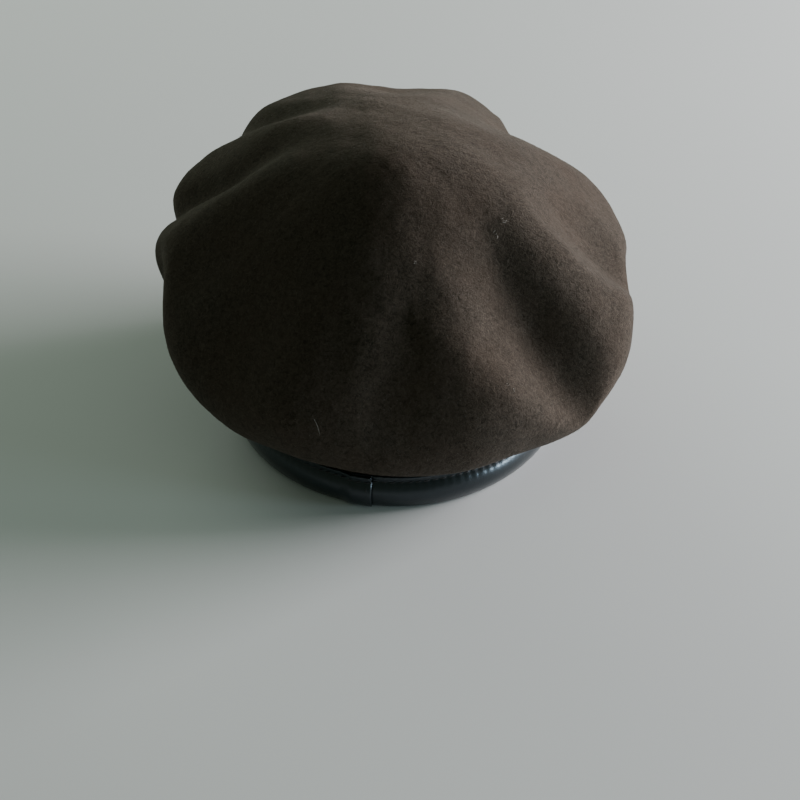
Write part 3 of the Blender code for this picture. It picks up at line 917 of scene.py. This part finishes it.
def run_cloth(obj, pins):
    """Where a mesh's points end after a cloth run. The object is used up."""
    group = obj.vertex_groups.new(name="pins")
    group.add(pins, 1.0, "REPLACE")
    modifier = obj.modifiers.new("cloth", "CLOTH")
    for key, value in CLOTH.items():
        setattr(modifier.settings, key, value)
    modifier.settings.effector_weights.gravity = 0.0
    modifier.collision_settings.use_collision = False
    modifier.point_cache.frame_start = 1
    modifier.point_cache.frame_end = CLOTH_FRAMES
    scene = bpy.context.scene
    for frame_number in range(1, CLOTH_FRAMES + 1):
        scene.frame_set(frame_number)
    mesh = obj.evaluated_get(bpy.context.evaluated_depsgraph_get()).to_mesh()
    places = np.empty(len(mesh.vertices) * 3)
    mesh.vertices.foreach_get("co", places)
    data, material = obj.data, obj.data.materials[0]
    bpy.data.objects.remove(obj)
    bpy.data.meshes.remove(data)
    bpy.data.materials.remove(material)
    scene.frame_set(1)
    return places.reshape(-1, 3)


def settled(name, rows, pinned_rows):
    """Rows of a lining panel after its slack has buckled into folds, by a cloth run."""
    count = rows.shape[1]
    first = 1 if np.ptp(rows[0], axis=0).max() < 1e-7 else 0
    points = np.vstack([rows[0, :first], rows[first:].reshape(-1, 3)])
    faces = grid_faces(len(rows) - first, count, True, first)
    if first:
        faces += [(0, 1 + i, 1 + (i + 1) % count) for i in range(count)]
    obj = add_mesh(name, points, faces, bpy.data.materials.new(name))
    pins = [0] if first else []
    for row in pinned_rows:
        start = first + (row % len(rows) - first) * count
        pins += range(start, start + count)
    moved = run_cloth(obj, pins) - points
    length = np.maximum(np.linalg.norm(moved, axis=1), 1e-9)
    moved *= (np.minimum(length, LINING_REACH) / length)[:, None]
    moved = np.round(moved, 6)
    if first:
        moved = np.vstack([np.repeat(moved[:1], count, 0), moved[1:]])
    return rows + moved.reshape(rows.shape)


def build_lining(material):
    azimuth = azimuths(LINING_AZIMUTHS)
    rings = []
    for step in np.linspace(0.0, 1.0, 13):
        radius, height, lift = crown_top_ring(azimuth, SEAM_FRACTION * step)
        rings.append((radius, height + np.minimum(lift, 0.0) - LINING_CLEARANCE))
    rows = spline_rows(ring_points(azimuth, rings), 4)
    flat = rows.reshape(-1, 3)
    share = np.repeat(np.linspace(0, 1, len(rows)), rows.shape[1])
    sag = smooth_step(0.05, 0.3, share) * (1 - smooth_step(0.8, 1.0, share))
    depth, spread, size, seed = DISC_SAG
    flat[:, 2] -= sag * np.maximum(depth + spread * wave_noise(flat, size, seed, 4), 0.0)
    rows = settled("disc_slack", flat.reshape(rows.shape), (-1, -2))
    top = domed_mesh("lining_disc", rows, material)
    top_area = sheet_area(top)
    thicken(top, LINING_THICKNESS, 0.0)
    finish_piece(top, "lining", "lining_top")

    hem = oval_radius(azimuth, LINING_RADIUS)
    seam_radius, seam_height = lining_seam(azimuth)
    edge_radius = seam_radius - WALL_IN
    edge_height = seam_height - WALL_DROP
    rings = []
    for up in np.linspace(1.0, 0.0, 13):
        height = LINING_FOOT + (edge_height - LINING_FOOT) * up
        rings.append((hem + (edge_radius - hem) * up, height))
    rings.append((hem, np.full_like(hem, 0.015)))
    rings.append((hem, np.full_like(hem, 0.008)))
    rows = spline_rows(ring_points(azimuth, rings), 4)
    rows = wrinkled(rows, *WALL_WRINKLES)
    rows = settled("wall_slack", rows, (0, 1, *range(-9, 0)))
    count = rows.shape[1]
    side = add_mesh("lining_wall", rows.reshape(-1, 3), grid_faces(len(rows), count, True), material)
    side_area = sheet_area(side)
    thicken(side, LINING_THICKNESS, 0.0)
    finish_piece(side, "lining", "lining_side")
    return top, top_area, side, side_area


def build_lining_stitches(material):
    angles = azimuths(1440)
    radius, height = lining_seam(angles)
    radius = radius - WALL_IN
    points = np.stack([radius * np.cos(angles), radius * np.sin(angles), height - 0.0015], 1)
    points = np.vstack([points, points[:1]])
    lengths = np.concatenate([[0.0], np.cumsum(np.linalg.norm(np.diff(points, axis=0), axis=1))])
    count = round(lengths[-1] / SEAM_PITCH)
    pitch = lengths[-1] / count
    stitches = []
    for k in range(count):
        ends = []
        for d in ((k + 0.16) * pitch, (k + 0.84) * pitch):
            ends.append(tuple(np.interp(d, lengths, points[:, i]) for i in range(3)))
        inward = (-ends[0][0], -ends[0][1], 0.0)
        stitches.append(stitch_points(ends[0], ends[1], inward, inward, 0.0002, 6, 7, 0.00026))
    seam = stitch_mesh("lining_seam_stitches", stitches, material, 6, 7)
    finish_piece(seam, "thread", "lining_seam_thread")


def label_place(across, height, off):
    """Points in front of the lining's rear wall, from arrays of the same shape."""
    across, height, off = np.broadcast_arrays(across, height, off)
    azimuth = np.full(across.shape, -math.pi / 2)
    for _ in range(3):
        low = oval_radius(azimuth, LINING_RADIUS)
        seam_radius, seam_height = lining_seam(azimuth)
        share = (height - LINING_FOOT) / (seam_height - WALL_DROP - LINING_FOOT)
        radius = low + (seam_radius - WALL_IN - low) * share - off
        azimuth = -math.pi / 2 + np.arcsin(across / radius)
    return np.stack([radius * np.cos(azimuth), radius * np.sin(azimuth), height], -1)


def build_label(material, thread):
    half = LABEL_WIDTH / 2
    heights = np.linspace(LABEL_LOW, LABEL_HIGH, 15)
    height, across = np.meshgrid(heights, np.linspace(-half, half, 31), indexing="ij")
    curl = 0.0004 * (np.abs(across) / half) ** 4
    wave = 0.00025 * np.sin(across * 260.0 + height * 180.0)
    rows = label_place(across, height, 0.0010 + curl + wave)
    faces = [tuple(reversed(f)) for f in grid_faces(15, 31, False)]
    label = add_mesh("woven_label", rows.reshape(-1, 3), faces, material)
    thicken(label, LINING_THICKNESS, 0.0)
    finish_piece(label, "label", "size_label")
    stitches = []
    for k in range(LABEL_STITCHES):
        start = -0.0135 + 0.003 * k
        across = np.array([start + 0.0004, start + 0.0026])
        ends = label_place(across, LABEL_HIGH - 0.0015, 0.0016)
        inward = (0.0, 1.0, 0.0)
        stitches.append(stitch_points(ends[0], ends[1], inward, inward, 0.00015, 6, 7, 0.00022))
    row = stitch_mesh("label_stitches", stitches, thread, 6, 7)
    finish_piece(row, "thread", "label_thread")
    return label


# Studio


def build_camera():
    camera = bpy.data.cameras.new("camera")
    camera.lens = CAMERA_LENS
    camera.sensor_width = 36.0
    obj = bpy.data.objects.new("camera", camera)
    obj.location = CAMERA_PLACE
    obj.rotation_euler = (math.radians(CAMERA_TILT), 0.0, 0.0)
    bpy.context.scene.collection.objects.link(obj)
    bpy.context.scene.camera = obj


def add_light(name, place, target, width, height, power, color):
    light = bpy.data.lights.new(name, "AREA")
    light.shape = "RECTANGLE"
    light.size = width
    light.size_y = height
    light.energy = power
    light.color = color
    obj = bpy.data.objects.new(name, light)
    obj.location = place
    direction = np.array(target, float) - np.array(place, float)
    yaw = math.atan2(direction[1], direction[0])
    pitch = math.atan2(-direction[2], math.hypot(direction[0], direction[1]))
    obj.rotation_euler = (math.pi / 2 - pitch, 0.0, yaw - math.pi / 2)
    bpy.context.scene.collection.objects.link(obj)


def build_studio():
    corners = []
    for x, y in ((-1, -1), (1, -1), (1, 1), (-1, 1)):
        corners.append((x * FLOOR_HALF, y * FLOOR_HALF, FLOOR_LEVEL))
    floor = add_mesh("floor", corners, [(0, 1, 2, 3)], floor_material(), smooth=False)
    world = bpy.data.worlds.new("studio")
    world.use_nodes = True
    background = world.node_tree.nodes["Background"]
    background.inputs["Color"].default_value = FILL_COLOR
    background.inputs["Strength"].default_value = FILL_STRENGTH
    bpy.context.scene.world = world
    for name, facts in LIGHTS.items():
        add_light(name, *facts)


def main():
    felt_finish = felt_material()
    leather_finish = leather_material()
    needle = thread_material("black sewing thread", (0.006, 0.006, 0.007), (0.030, 0.030, 0.031))
    white = thread_material("label thread", (0.30, 0.29, 0.26), (0.55, 0.53, 0.48))
    lining_finish = lining_material()

    felt, felt_area = build_felt(felt_finish)
    nap_finish = fibre_material("wool fibres", (0.045, 0.036, 0.029), (0.120, 0.098, 0.080))
    lint_finish = fibre_material("pale lint", (0.30, 0.28, 0.26), (0.48, 0.46, 0.43))
    build_nap(felt, nap_finish, lint_finish)
    leather = build_leather(leather_finish)
    build_band_stitches(needle, needle)
    build_lap_stitches(needle)
    top, top_area, side, side_area = build_lining(lining_finish)
    build_lining_stitches(needle)
    label = build_label(label_material(), white)
    tape = NODES["sizing_tape"]
    tape.data.materials.clear()
    tape.data.materials.append(tape_material())

    build_camera()
    build_studio()


main()
